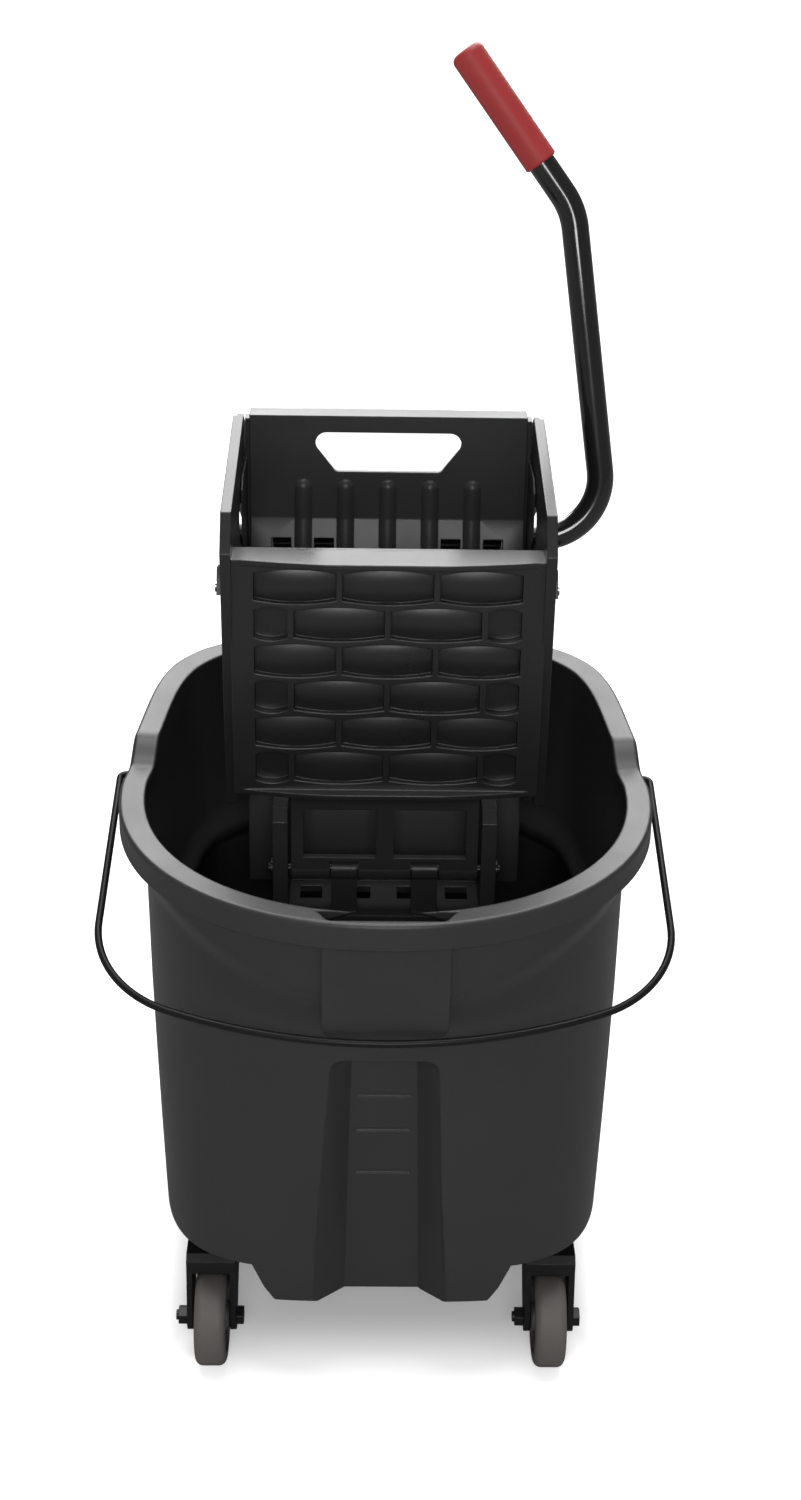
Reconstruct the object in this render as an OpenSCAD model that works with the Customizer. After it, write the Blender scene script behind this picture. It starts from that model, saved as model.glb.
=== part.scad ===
// Mop bucket on four swivel casters with a side press wringer hung on its rear rim.
// Millimetres, Z up, front (pouring spout) at -Y, origin on the floor below the middle of the box.

/* [Bucket] */
// Width over the rim
rim_w = 406; // [380:1:430]
// Rim length in front of its widest line
rim_front = 228; // [215:1:240]
// Rim length behind its widest line
rim_rear = 260; // [250:1:275]
// Height of the front part of the rim
rim_z = 430; // [420:1:445]
// How much higher the rear part of the rim is
rim_step = 16; // [8:1:20]
// Further rise of the rim from the step to the back
rim_ramp = 9; // [4:1:12]
// Width of the flat rim
rim_flange = 20; // [16:1:22]
// Depth of the skirt below the front rim
skirt_h = 20; // [16:1:26]
// Wall thickness
wall = 4; // [3:0.5:5]
// Underside of the bucket above the floor
floor_z = 84; // [82:1:92]
// Overhang of the upper wall at the wave line
wave_step = 7; // [4:1:9]
// Depth of the wave line below the front rim
wave_drop = 88; // [80:1:100]
// Rise of the wave line towards the sides
wave_rise = 46; // [20:1:50]
// Narrowing of the side walls from the wave line down to the floor
side_taper = 13.5; // [8:0.5:15]
// Narrowing of the front wall from the wave line down to the floor
front_taper = 20; // [16:1:24]
// Narrowing of the rear wall from the wave line down to the floor
rear_taper = 14; // [8:1:18]
// Depth of the tipping recess in the front wall
recess_d = 20; // [12:1:26]
// Distance of the tipping recess below the wave line
recess_drop = 31; // [25:1:60]

/* [Bail] */
// Bail wire diameter
bail_d = 5.5; // [4:0.1:7]
// Length of the bail from its pivot to the middle of the bow
bail_len = 271; // [270:0.5:272]
// Bend radius of the bail corners
bail_corner = 90; // [70:1:100]
// Radius of the bail bow
bail_bow = 420; // [380:10:600]
// Angle of the resting bail below the horizontal
bail_rest = 18; // [17:0.5:19]

/* [Casters] */
// Wheel diameter
wheel_d = 76.2; // [70:0.1:80]
// Tread width
wheel_w = 24; // [22:0.5:26]
// Sideways distance of the swivel axes from the middle
caster_x = 131; // [126:1:134]
// Swivel axis of the front casters, ahead of the rim's widest line
caster_front = 121; // [115:1:125]
// Swivel axis of the rear casters, behind the rim's widest line
caster_rear = 175; // [169:1:179]
// Distance of the wheel axle from the swivel axis
trail = 24; // [18:1:28]
// Thickness of the fork legs
fork_t = 4.6; // [3.6:0.2:5]
// Axle bolt diameter
axle_d = 8; // [6:0.5:9]

/* [Wringer] */
// Width of the back panel
panel_w = 224; // [210:1:228]
// Top of the back panel
panel_top = 671; // [666:1:680]
// Height where the back panel starts to lean forward
knee_z = 585; // [578:1:590]
// Back panel thickness
panel_t = 4; // [3:0.5:5]
// Press hinge, behind the rim's widest line
hinge_back = 45; // [41:1:49]
// Press hinge height
hinge_z = 333; // [330:1:336]
// Hinge pin diameter
pin_d = 8; // [6:0.5:9]
// Cheek wall thickness
cheek_t = 4.5; // [3.5:0.5:5]
// Height of the press plate's top
plate_top = 604; // [600:1:610]
// Height of the press plate's bottom
plate_bot = 413; // [410:1:418]
// Depth of the press plate from front to back
plate_d = 37; // [35:1:42]
// Forward bow of the press plate
plate_bow = 12; // [6:1:16]
// Rows of bricks on the press plate
brick_rows = 6; // [5:1:7]
// Depth of the brick pockets
brick_d = 9; // [7:0.5:10]

/* [Drive and lever] */
// Gear module
gear_m = 4; // [3.9:0.05:4.1]
// Pinion teeth in a full turn
pinion_teeth = 20; // [20:1:21]
// Rack teeth in a full turn
rack_teeth = 120; // [119:1:121]
// Face width of the gears
gear_w = 8; // [6:0.5:9]
// Direction from the hinge to the shaft, from the vertical
shaft_dir = 34.26; // [34:0.02:35]
// Cross shaft diameter
shaft_d = 16; // [14:0.5:18]
// Lever tube diameter
tube_d = 22.2; // [19:0.1:24]
// Lever tube wall
tube_t = 1.8; // [1.2:0.1:2.5]
// Backward lean of the resting lever
lever_lean = 9.35; // [8:0.05:11]
// Lever length from the shaft to the top of the grip
lever_len = 385; // [340:1:400]
// Bend radius at the bottom of the lever
lever_bend = 49; // [40:1:55]
// Inward lean of the long part of the lever
lever_in = 8; // [5:0.5:10]
// Inward lean of the grip
grip_in = 36.8; // [25:0.2:40]
// Grip diameter
grip_d = 27.5; // [25:0.5:32]
// Grip length
grip_len = 106; // [90:1:120]

/* [Hidden] */
$fn = 48;
run_fit = 0.05;
face_gap = 0.4;
seam = 0.02;
box_l = 506;
rim_a = rim_w / 2;
wide_y = rim_front - box_l / 2;
rear_z = rim_z + rim_step + rim_ramp;
front_y = wide_y - rim_front;
back_y = wide_y + rim_rear;
skirt_t = 3.5;
skirt_z = rim_z - skirt_h;
wave_z = rim_z - wave_drop;
recess_top = wave_z - recess_drop;
hinge_y = wide_y + hinge_back;
pivot_y = wide_y + 33;
pivot_z = rim_z - 10;
ring_n = 64;
floor_t = wall;
socket_z = floor_z + 34;
stem_d = 11;
fork_gap = wheel_w + 4.8;
fork_half = fork_gap / 2 + fork_t;
wheel_r = wheel_d / 2;
crown_z = wheel_d + 4;
crown_top = crown_z + 16;
race_z = crown_top + 7;
wall_in = 20.5;
foot_front = wide_y - rim_front + wall_in + front_taper;
recess_slope = front_taper / (wave_z - floor_z);
recess_in = 23;
recess_out = 35;
recess_flare = 16;
bead_z = wave_z - 42;
bead = [[18, 0], [10, 4], [4, 9], [-1, 10.5], [-7, 9], [-12, 4], [-18, 0]];
wall_rows = [for (d = [202, 152, 102]) floor_z + (wave_z - floor_z) * (1 - d / 258)];
shaft_l = gear_m * (pinion_teeth + rack_teeth) / 2;
shaft_y = hinge_y + shaft_l * sin(shaft_dir);
shaft_z = hinge_z + shaft_l * cos(shaft_dir);
panel_y = shaft_y - 22.6;
cheek_in = panel_w / 2 + 5;
cheek_out = cheek_in + cheek_t;
gear_x = cheek_out + face_gap + 4;
gear_out = gear_x + gear_w;
plate_y = hinge_y - plate_d;
base_z = hinge_z - 37;
foot_y = hinge_y + 50;
foot_z = hinge_z + 19;
frame_half = 75;
post_in = frame_half + 2.5;
post_out = post_in + 12;
knuckle_r = pin_d / 2 + 4.5;
rib_x = panel_w / 2 - 10;
rib_t = 6;
hole_top = panel_top - 13.5;
hole_low = panel_top - 46;
knee_seam = knee_z + 2;
side_seam = hole_low + 2;
rail_seam = hole_top - 1.5;
flute_r = 9;
flute_in = 5.5;
hook_y = back_y + face_gap;
field_half = panel_w / 2 - 9;
brick_top = plate_top - 6;
brick_h = (brick_top - plate_bot - 8) / brick_rows;
brick_w = field_half * 2 / 2.82;
pillow_r = 40;
rack_r = gear_m * rack_teeth / 2;
press_turn = 17;
elbow_r = 60;
bend_x = gear_out - 6.5;
leg_turn = 90 + lever_in;
leg_0 = [bend_x + lever_bend * sin(leg_turn), lever_bend - lever_bend * cos(leg_turn)];
grip_h = 120.4;
elbow_h = lever_len - grip_h;
elbow = [leg_0[0] - (elbow_h - leg_0[1]) * tan(lever_in), elbow_h];
elbow_cut = elbow_r * tan((grip_in - lever_in) / 2);
leg_len = (elbow_h - leg_0[1]) / cos(lever_in) - elbow_cut;
grip_leg = grip_h / cos(grip_in) - elbow_cut;
corners = [for (y = [wide_y - caster_front, wide_y + caster_rear], s = [-1, 1]) [s, y]];

// Small helpers: prisms along X and Y, arcs and rounded outlines.
module along_x(x0, x1) {
    translate([x0, 0, 0])
        rotate([90, 0, 90])
            linear_extrude(x1 - x0)
                children();
}

module along_y(y0, y1) {
    translate([0, y1, 0])
        rotate([90, 0, 0])
            linear_extrude(y1 - y0)
                children();
}

module rod_x(x0, x1, y, z, r) {
    translate([x0, y, z])
        rotate([0, 90, 0])
            cylinder(h = x1 - x0, r = r);
}

module both_sides() {
    children();
    mirror([1, 0, 0])
        children();
}

function arc(c, r, a0, a1, n = 8) = [for (i = [0 : n]) let (a = a0 + (a1 - a0) * i / n)
    c + r * [cos(a), sin(a)]];
function power(v, p) = sign(v) * pow(abs(v), p);

// The bucket outline is a superellipse, rounder in front than behind; the wave lifts chosen rings.
function blend(v) = v <= 0 ? 0 : v >= 1 ? 1 : (1 - cos(180 * v)) / 2;
function wave(t) = wave_rise * blend((min(abs(t - 270), 360 - abs(t - 270)) - 17) / 43);
function ring(s) = [for (i = [0 : ring_n - 1]) let (
    t = 360 * i / ring_n,
    n = sin(t) < -0.001 ? s[4] : 3.4,
    b = sin(t) < -0.001 ? s[2] : s[3],
    u = power(sin(t), 2 / n))
    [s[1] * power(cos(t), 2 / n), wide_y + b * u, s[0] + s[5] * wave(t) + s[6] * max(0, u)]];
function inset(z, d, rise = 0) = [z, rim_a - d, rim_front - d, rim_rear - d, 2.15, 0, rise];

// Skin over m rings of n points each, closed at both ends.
module skin(pts, n) {
    m = len(pts) / n;
    sides = [for (i = [0 : m - 2], j = [0 : n - 1]) let (k = (j + 1) % n)
        each [[i * n + j, (i + 1) * n + j, (i + 1) * n + k], [i * n + j, (i + 1) * n + k, i * n + k]]];
    low = [[for (j = [0 : n - 1]) j]];
    high = [[for (j = [n - 1 : -1 : 0]) (m - 1) * n + j]];
    polyhedron(points = pts, faces = concat(sides, low, high));
}

module loft(sections) {
    skin([for (s = sections) each ring(s)], ring_n);
}

// Outer wall below the wave line, at height z, moved inwards by d.
function low_wall(z, d, w = 0) = let (
    k = max(0, (wave_z - z) / (wave_z - floor_z)),
    e = wall_in + d)
    [z, rim_a - e - side_taper * k, rim_front - e - front_taper * k, rim_rear - e - rear_taper * k,
        2.45 + 1.75 * k, w, 0];
// Outer wall above the wave line, which stands proud.
function high_wall(z, d, w = 0, rise = 0) = let (e = wall_in + d - wave_step)
    [z, rim_a - e, rim_front - e, rim_rear - e, 2.3, w, rise];
// Rings of the lower wall between the floor and the wave line, from below.
function wall_rings(d) = [for (z = wall_rows) low_wall(z, d)];
function rings_down(d) = [for (i = [len(wall_rows) - 1 : -1 : 0]) low_wall(wall_rows[i], d)];

module bucket_shell() {
    under = rim_z - wall;
    lift = rim_step + rim_ramp;
    loft(concat(
        [low_wall(floor_z, 3.5), low_wall(floor_z + 1.2, 1.2), low_wall(floor_z + 4, 0)],
        wall_rings(0),
        [low_wall(wave_z - 46, 0), low_wall(wave_z, 0, 1), high_wall(wave_z + 6, 0, 1),
            high_wall(under - 4, 0, 0, lift), high_wall(under, -0.5, 0, lift),
            inset(under, skirt_t, lift), inset(skirt_z, skirt_t), inset(skirt_z, 0),
            inset(rear_z - 3, 0), inset(rear_z - 0.8, 0.8), inset(rear_z, 3),
            inset(rear_z, rim_flange - 2.5), inset(rear_z - 2.5, rim_flange),
            high_wall(under - 6, wall), low_wall(wave_z + wave_rise + 4, wall)],
        [for (b = bead) low_wall(bead_z + b[0], wall + b[1])],
        rings_down(wall),
        [low_wall(floor_z + 12, wall), low_wall(floor_z + floor_t + 2, wall + 3),
            low_wall(floor_z + floor_t, wall + 11)]));
}

// Room for one caster below a corner; g thickens it into the pocket's own walls.
module caster_room(s, y, g) {
    away = sign(y - wide_y);
    near = y - away * (56 + g);
    far = y + away * 140;
    along_y(min(near, far), max(near, far))
        polygon([[s * (caster_x - 53 - g), floor_z - 40], [s * (caster_x - 53 - g), floor_z - 1],
            [s * (caster_x - 43 - g), floor_z + 14], [s * (caster_x - 34 - g), socket_z + g],
            [s * (rim_a + 20), socket_z + g], [s * (rim_a + 20), floor_z - 40]]);
}

// The tipping recess follows the slope of the front wall and widens towards the floor.
module recess_room(g) {
    top = recess_top - floor_z;
    ahead = 10;
    translate([0, foot_front, floor_z])
        rotate([atan(recess_slope), 0, 0])
            skin([for (z = [-20, top + g]) let (
                k = (top - z) / top,
                back = recess_in + recess_flare * 0.3 * k + g,
                edge = recess_out + recess_flare * k + g,
                front = edge + (edge - back) * ahead / recess_d)
                each [[front, -ahead, z], [back, recess_d + g, z],
                    [-back, recess_d + g, z], [-front, -ahead, z]]], 4);
}

// Front outline of the raised panel below the spout, up to height z.
module panel_pad(z) {
    low = wave_z - 9;
    polygon(concat([[44, z], [-44, z]], arc([-30, low + 14], 14, 180, 270),
        arc([30, low + 14], 14, 270, 360)));
}

// One moulded tub: rolled rim with a step, spout, wave line, tipping recess and caster pockets.
module bucket() {
    lip = front_y + 7;
    color([0.14, 0.14, 0.15])
        difference() {
            union() {
                bucket_shell();
                intersection() {
                    loft([low_wall(floor_z + 2, 2), low_wall(socket_z + wall + 1, 1)]);
                    for (c = corners)
                        caster_room(c[0], c[1], wall);
                }
                for (c = corners)
                    translate([c[0] * caster_x, c[1], socket_z + 1])
                        cylinder(h = 42, r = stem_d / 2 + 8);
                intersection() {
                    loft(concat([low_wall(floor_z + 2, 1.5)], wall_rings(1.5), [low_wall(wave_z, 1.5)]));
                    recess_room(wall);
                }
                along_y(front_y + 10.5, front_y + 17.2)
                    panel_pad(skirt_z + 6);
                along_y(front_y + 10.5, front_y + 25)
                    panel_pad(wave_z + 6);
                intersection() {
                    loft([inset(skirt_z + 4, 1), inset(rim_z - 2, 1)]);
                    translate([-56, front_y, skirt_z])
                        cube([112, 18, skirt_h]);
                }
            }
            for (c = corners) {
                caster_room(c[0], c[1], 0);
                translate([c[0] * caster_x, c[1], socket_z - 5])
                    cylinder(h = 39, d = stem_d);
            }
            recess_room(0);
            for (z = [for (d = [45, 76, 115]) recess_top - d])
                translate([-20, foot_front + recess_d - (z - floor_z) * recess_slope, z])
                    rotate([0, 90, 0])
                        cylinder(h = 40, r = 1.2, $fn = 16);
            along_x(-rim_a - 30, rim_a + 30)
                polygon([[front_y - 20, rim_z], [pivot_y + 4, rim_z], [pivot_y + 14, rim_z + rim_step],
                    [back_y - 40, rear_z], [back_y - 40, rear_z + 10], [front_y - 20, rear_z + 10]]);
            along_x(-44, 44)
                polygon([[lip, rim_z + 1], [lip + 24, rim_z + 1], [lip + 24, rim_z - 40],
                    [lip + 3, rim_z - 12]]);
            rod_x(-rim_a - 10, rim_a + 10, pivot_y, pivot_z, bail_d / 2 + run_fit);
        }
}

// Bent wire handle: stub ends through the skirt, two legs, two corners and a shallow bow.
module bail() {
    leg = rim_a + bail_d / 2 + 2.2;
    gam = asin((leg - bail_corner) / (bail_bow - bail_corner));
    uc = bail_len - bail_bow + (bail_bow - bail_corner) * cos(gam);
    stub = 13;
    bend = 5;
    color([0.1, 0.1, 0.1])
        translate([0, pivot_y, pivot_z])
            rotate([bail_rest, 0, 0]) {
                both_sides() {
                    rod_x(leg - stub - 1, leg - bend + 0.3, 0, 0, bail_d / 2);
                    translate([leg - bend, -bend, 0])
                        rotate_extrude(angle = 90)
                            translate([bend, 0])
                                circle(r = bail_d / 2 + seam);
                    translate([leg, -bend + 0.3, 0])
                        rotate([90, 0, 0])
                            cylinder(h = uc - bend + 1.3, d = bail_d);
                    translate([leg - bail_corner, -uc, 0])
                        rotate([0, 0, gam - 90])
                            rotate_extrude(angle = 90 - gam, $fn = 96)
                                translate([bail_corner, 0])
                                    circle(r = bail_d / 2 + seam);
                    translate([leg - stub - 2, 0, 0])
                        rotate([0, 90, 0])
                            cylinder(h = 2, d = bail_d + 2);
                }
                translate([0, bail_bow - bail_len, 0])
                    rotate([0, 0, -90 - gam - 0.15])
                        rotate_extrude(angle = 2 * gam + 0.3, $fn = 128)
                            translate([bail_bow, 0])
                                circle(d = bail_d);
            }
}

// Four stems pressed into the sockets, each with a race cup above the fork and a riveted foot.
module caster_stems() {
    foot = crown_z - 3;
    color([0.42, 0.41, 0.4])
        for (c = corners)
            translate([c[0] * caster_x, c[1], 0]) {
                translate([0, 0, foot])
                    cylinder(h = socket_z + 32 - foot, d = stem_d);
                translate([0, 0, race_z + face_gap])
                    cylinder(h = socket_z - race_z - face_gap, r = fork_half + 0.5);
                translate([0, 0, foot])
                    cylinder(h = 3 - face_gap, r = 9);
            }
}

module at_corner(i) {
    translate([corners[i][0] * caster_x, corners[i][1], 0])
        children();
}

// Fork: a solid horn over the wheel, a race on top and two legs that reach forward to the axle.
module fork(i) {
    nose = -trail - 4;
    heel = 19;
    color([0.16, 0.16, 0.17])
        at_corner(i)
            difference() {
                union() {
                    along_x(-fork_half, fork_half)
                        polygon([[nose, crown_z], [nose, crown_top - 5], [nose + 5, crown_top],
                            [heel - 5, crown_top], [heel, crown_top - 5], [heel, crown_z]]);
                    translate([0, 0, crown_top - 1])
                        cylinder(h = race_z - crown_top + 1, r = fork_half - 3);
                    both_sides()
                        along_x(fork_half - fork_t, fork_half)
                            union() {
                                polygon([[nose, crown_z + 2], [heel, crown_z + 2], [heel - 2, crown_z - 8],
                                    [-trail + 10.2, wheel_r - 4], [-trail - 10.6, wheel_r + 3]]);
                                translate([-trail, wheel_r])
                                    circle(r = 11);
                            }
                }
                translate([0, 0, crown_z - 1])
                    cylinder(h = 40, r = stem_d / 2 + run_fit);
                rod_x(-fork_half - 1, fork_half + 1, -trail, wheel_r, axle_d / 2);
            }
}

module hex_x(x0, h, af) {
    translate([x0, -trail, wheel_r])
        rotate([0, 90, 0])
            cylinder(h = h, d = af / cos(30), $fn = 6);
}

// Axle bolt with its hex head on the right.
module axle(i) {
    color([0.2, 0.2, 0.21])
        at_corner(i) {
            rod_x(-fork_half - 9, fork_half, -trail, wheel_r, axle_d / 2);
            hex_x(fork_half, 5.5, axle_d + 5);
        }
}

module nut(i) {
    color([0.2, 0.2, 0.21])
        at_corner(i)
            difference() {
                hex_x(-fork_half - 7, 7, axle_d + 5);
                rod_x(-fork_half - 8, -fork_half + 1, -trail, wheel_r, axle_d / 2);
            }
}

module spun_x() {
    translate([0, -trail, wheel_r])
        rotate([0, 90, 0])
            rotate_extrude($fn = 96)
                children();
}

// Wheel core with a long hub, dished web and a seat for the tyre.
module wheel(i) {
    hub = fork_gap / 2 - 0.7;
    r0 = axle_d / 2 + run_fit;
    seat = wheel_r - 10;
    color([0.3, 0.29, 0.28])
        at_corner(i)
            spun_x()
                polygon([[r0, -hub], [r0 + 5.5, -hub], [r0 + 7, -hub + 1.5], [r0 + 8, -5], [seat - 5, -5],
                    [seat - 4, -wheel_w / 2 + 2], [seat, -wheel_w / 2 + 2], [seat, wheel_w / 2 - 2],
                    [seat - 4, wheel_w / 2 - 2], [seat - 5, 5], [r0 + 8, 5], [r0 + 7, hub - 1.5],
                    [r0 + 5.5, hub], [r0, hub]]);
}

// Soft tread ring with a rounded crown.
module tyre(i) {
    seat = wheel_r - 10;
    rr = 6;
    h = wheel_w / 2;
    color([0.42, 0.4, 0.38])
        at_corner(i)
            spun_x()
                difference() {
                    union() {
                        translate([seat, -h + rr])
                            square([10, 2 * h - 2 * rr]);
                        translate([seat, -h])
                            square([10 - rr, 2 * h]);
                        for (v = [-h + rr, h - rr])
                            translate([wheel_r - rr, v])
                                circle(r = rr);
                    }
                    translate([0, -50])
                        square([seat, 100]);
                }
}

// Outline of the carry handle hole, wider above than below.
function hole_outline() = let (t = hole_top, b = hole_low)
    concat(arc([50, t - 9], 9, -28, 90), arc([-50, t - 9], 9, 90, 208), arc([-40, b + 6], 6, 208, 270),
        arc([40, b + 6], 6, 270, 332));

// Where the front of the back panel is at height z.
function panel_at(z) = z > knee_z ? panel_y : panel_y - (knee_z - z) * (panel_y - foot_y) / (knee_z - foot_z);

module shaft_bore(r) {
    rod_x(-200, 200, shaft_y, shaft_z, r);
}

// Half outline of a round ended flute.
module flute_half(h) {
    square([flute_r, h]);
    intersection() {
        translate([0, h])
            circle(r = flute_r);
        translate([0, h - 1])
            square([flute_r, flute_r + 2]);
    }
}

// Fixed moulding: fluted back panel, hook ribs, hinge posts and drain base.
module wringer_moulding() {
    half = panel_w / 2;
    lean = atan((panel_y - foot_y) / (knee_z - foot_z));
    run = (knee_z - foot_z) / cos(lean);
    bush_r = shaft_d / 2 + 4;
    difference() {
        union() {
            along_x(-half, half)
                polygon([[panel_y, panel_top], [panel_y, knee_z], [foot_y, foot_z], [foot_y, base_z],
                    [foot_y + panel_t, base_z], [foot_y + panel_t, foot_z - 1],
                    [panel_y + panel_t, knee_z - 1], [panel_y + panel_t, panel_top - 4],
                    [panel_y + 23, panel_top - 4], [panel_y + 23, panel_top]]);
            both_sides() {
                along_x(half - 4, half)
                    polygon([[panel_y + 1, panel_top - 1], [panel_y + 1, knee_z], [foot_y + 1, foot_z],
                        [foot_y + 14, foot_z], [panel_y + 12, knee_z], [panel_y + 14, panel_top - 1]]);
                along_x(rib_x - rib_t, rib_x)
                    polygon([[panel_y + 1, panel_top - 2], [panel_y + 20, panel_top - 2],
                        [shaft_y + 16, shaft_z + 24], [shaft_y + 19, shaft_z], [hook_y + 6, rear_z + 22],
                        [hook_y + 6, rear_z - 18], [hook_y + 1, rear_z - 18], [hook_y, rear_z - 8],
                        [hook_y, rear_z], [back_y - 33, rear_z], [back_y - 37, rear_z - 40],
                        [panel_at(rear_z - 70) + 2, rear_z - 70], [panel_y + 1, knee_z]]);
                along_x(rib_x - rib_t, rib_x + 4)
                    translate([shaft_y, shaft_z])
                        circle(r = bush_r + 4);
                along_x(rib_x - rib_t, rib_x + 8)
                    polygon([[back_y - 33, rear_z], [hook_y + 6, rear_z], [hook_y + 6, rear_z + 5],
                        [back_y - 33, rear_z + 5]]);
                along_x(post_in, post_out)
                    polygon([[hinge_y - 12, base_z], [hinge_y - 12, hinge_z + 46],
                        [hinge_y - 4, hinge_z + 56], [hinge_y + 26, hinge_z + 56],
                        [panel_at(hinge_z + 66) + 1, hinge_z + 66], [foot_y + 1, foot_z],
                        [foot_y + 1, base_z]]);
                along_x(22, 43)
                    union() {
                        translate([hinge_y, hinge_z])
                            circle(r = knuckle_r);
                        polygon([[hinge_y - 6, base_z], [hinge_y - 4, hinge_z - 5],
                            [hinge_y + 5, hinge_z - 4], [hinge_y + 14, base_z]]);
                    }
            }
            along_x(-post_out, post_out)
                polygon([[hinge_y - 12, base_z - 6], [foot_y + panel_t, base_z - 6],
                    [foot_y + panel_t, base_z], [hinge_y - 12, base_z]]);
            along_x(-rib_x, rib_x)
                polygon([[shaft_y + 12.5, shaft_z + 42], [shaft_y + 16, shaft_z + 24],
                    [shaft_y + 19, shaft_z], [hook_y - 2, rear_z + 40], [hook_y - 6, rear_z + 40],
                    [shaft_y + 15, shaft_z], [shaft_y + 12, shaft_z + 24],
                    [shaft_y + 8.5, shaft_z + 42]]);
            for (x = [-69, -34.5, 0, 34.5, 69]) {
                translate([x, panel_y + flute_in, knee_z - 6])
                    rotate_extrude()
                        flute_half(panel_top - 60 - knee_z + 6);
                translate([x, panel_y, knee_z])
                    rotate([180 - lean, 0, 0])
                        translate([0, -flute_in, 0])
                            cylinder(h = run - 20, r = flute_r - 0.1);
            }
        }
        along_y(panel_y - 20, panel_y + 8)
            polygon(hole_outline());
        both_sides()
            for (x = [44, 79])
                translate([x, panel_at(knee_z - 105) - 12, knee_z - 105])
                    cube([16, 60, 90]);
        shaft_bore(bush_r);
        rod_x(-post_out - 1, post_out + 1, hinge_y, hinge_z, pin_d / 2);
        for (x = [-60, -20, 20, 60])
            translate([x - 9, hinge_y + 18, base_z - 10])
                cube([18, 22, 20]);
    }
}

// The moulding in four simple pieces with flat seams: at the knee and round the carry hole.
module slice(z0, z1) {
    color([0.13, 0.13, 0.14])
        intersection() {
            wringer_moulding();
            translate([-panel_w, hinge_y - 60, z0])
                cube([2 * panel_w, 2 * rim_rear, z1 - z0]);
        }
}

module wringer_frame() {
    slice(base_z - 10, knee_seam);
}

module panel_body() {
    slice(knee_seam, side_seam);
}

module panel_sides() {
    slice(side_seam, rail_seam);
}

module panel_rail() {
    slice(rail_seam, panel_top + 10);
}

// Flanged bushes in the two hook ribs that carry the cross shaft.
module shaft_bushes() {
    bush_r = shaft_d / 2 + 4;
    color([0.75, 0.73, 0.66])
        both_sides()
            difference() {
                union() {
                    rod_x(rib_x - rib_t - 1, rib_x + 4, shaft_y, shaft_z, bush_r);
                    rod_x(rib_x + 4, rib_x + 6, shaft_y, shaft_z, bush_r + 3);
                }
                shaft_bore(shaft_d / 2 + run_fit);
            }
}

// Point at angle a (from the vertical, leaning back) and radius r round the press hinge.
function polar(a, r) = [hinge_y + r * sin(a), hinge_z + r * cos(a)];

// Side outline of a cheek; the arc slot lets the cross shaft pass as the press swings.
module cheek_outline() {
    slot = shaft_d / 2 + 4;
    difference() {
        polygon([[plate_y, plate_top + 6], [plate_y + 18, panel_top - 34], [panel_y + 4, panel_top],
            [panel_y + 54, panel_top - 30], [panel_y + 50, panel_top - 66],
            polar(shaft_dir - 2, shaft_l + 14), polar(shaft_dir + 3, shaft_l - 14),
            polar(shaft_dir + 4, rack_r - 14), [panel_at(knee_z - 140) + 2, knee_z - 140],
            [panel_at(plate_bot + 2), plate_bot - 4], [plate_y + 18, plate_bot - 14]]);
        polygon(concat([for (i = [0 : 16]) polar(shaft_dir + 8 - (press_turn + 8) * i / 16, shaft_l + slot)],
            [for (i = [0 : 16]) polar(shaft_dir - press_turn + (press_turn + 8) * i / 16, shaft_l - slot)]));
        translate(polar(shaft_dir - press_turn, shaft_l))
            circle(r = slot);
    }
}

// Front outline of a brick: flat ends, bowed top and bottom.
module brick_outline(w, h) {
    sag = h * 0.11;
    r = (w * w / 4 + sag * sag) / (2 * sag);
    intersection() {
        square([w, 2 * h], center = true);
        translate([0, h / 2 - r])
            circle(r = r, $fn = 180);
        translate([0, r - h / 2])
            circle(r = r, $fn = 180);
    }
}

// Barrel pillow in a brick pocket, turned about the X axis.
module pillow(w) {
    r1 = pillow_r;
    bulge = (w * w / 4 + 2.6 * 2.6) / (2 * 2.6);
    rotate([0, 90, 0])
        rotate_extrude($fn = 96)
            intersection() {
                translate([0, -w / 2])
                    square([r1 + 1, w]);
                translate([r1 - bulge, 0])
                    circle(r = bulge, $fn = 180);
            }
}

// Brick centres: odd rows hold three whole bricks, even rows two whole and two part bricks.
function row_z(i) = brick_top - brick_h * (i + 0.5);
function row_cells(i) = i % 2 == 0
    ? [[-brick_w * 0.955, brick_w * 0.91], [0, brick_w], [brick_w * 0.955, brick_w * 0.91]]
    : [[-brick_w * 1.205, brick_w * 0.41], [-brick_w / 2, brick_w], [brick_w / 2, brick_w],
        [brick_w * 1.205, brick_w * 0.41]];

// Places of the screws between the lower flange and the windowed leg.
module screw_places() {
    for (x = [-60, -20, 20, 60])
        translate([x, hinge_y - 15, plate_bot])
            children();
}

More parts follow.
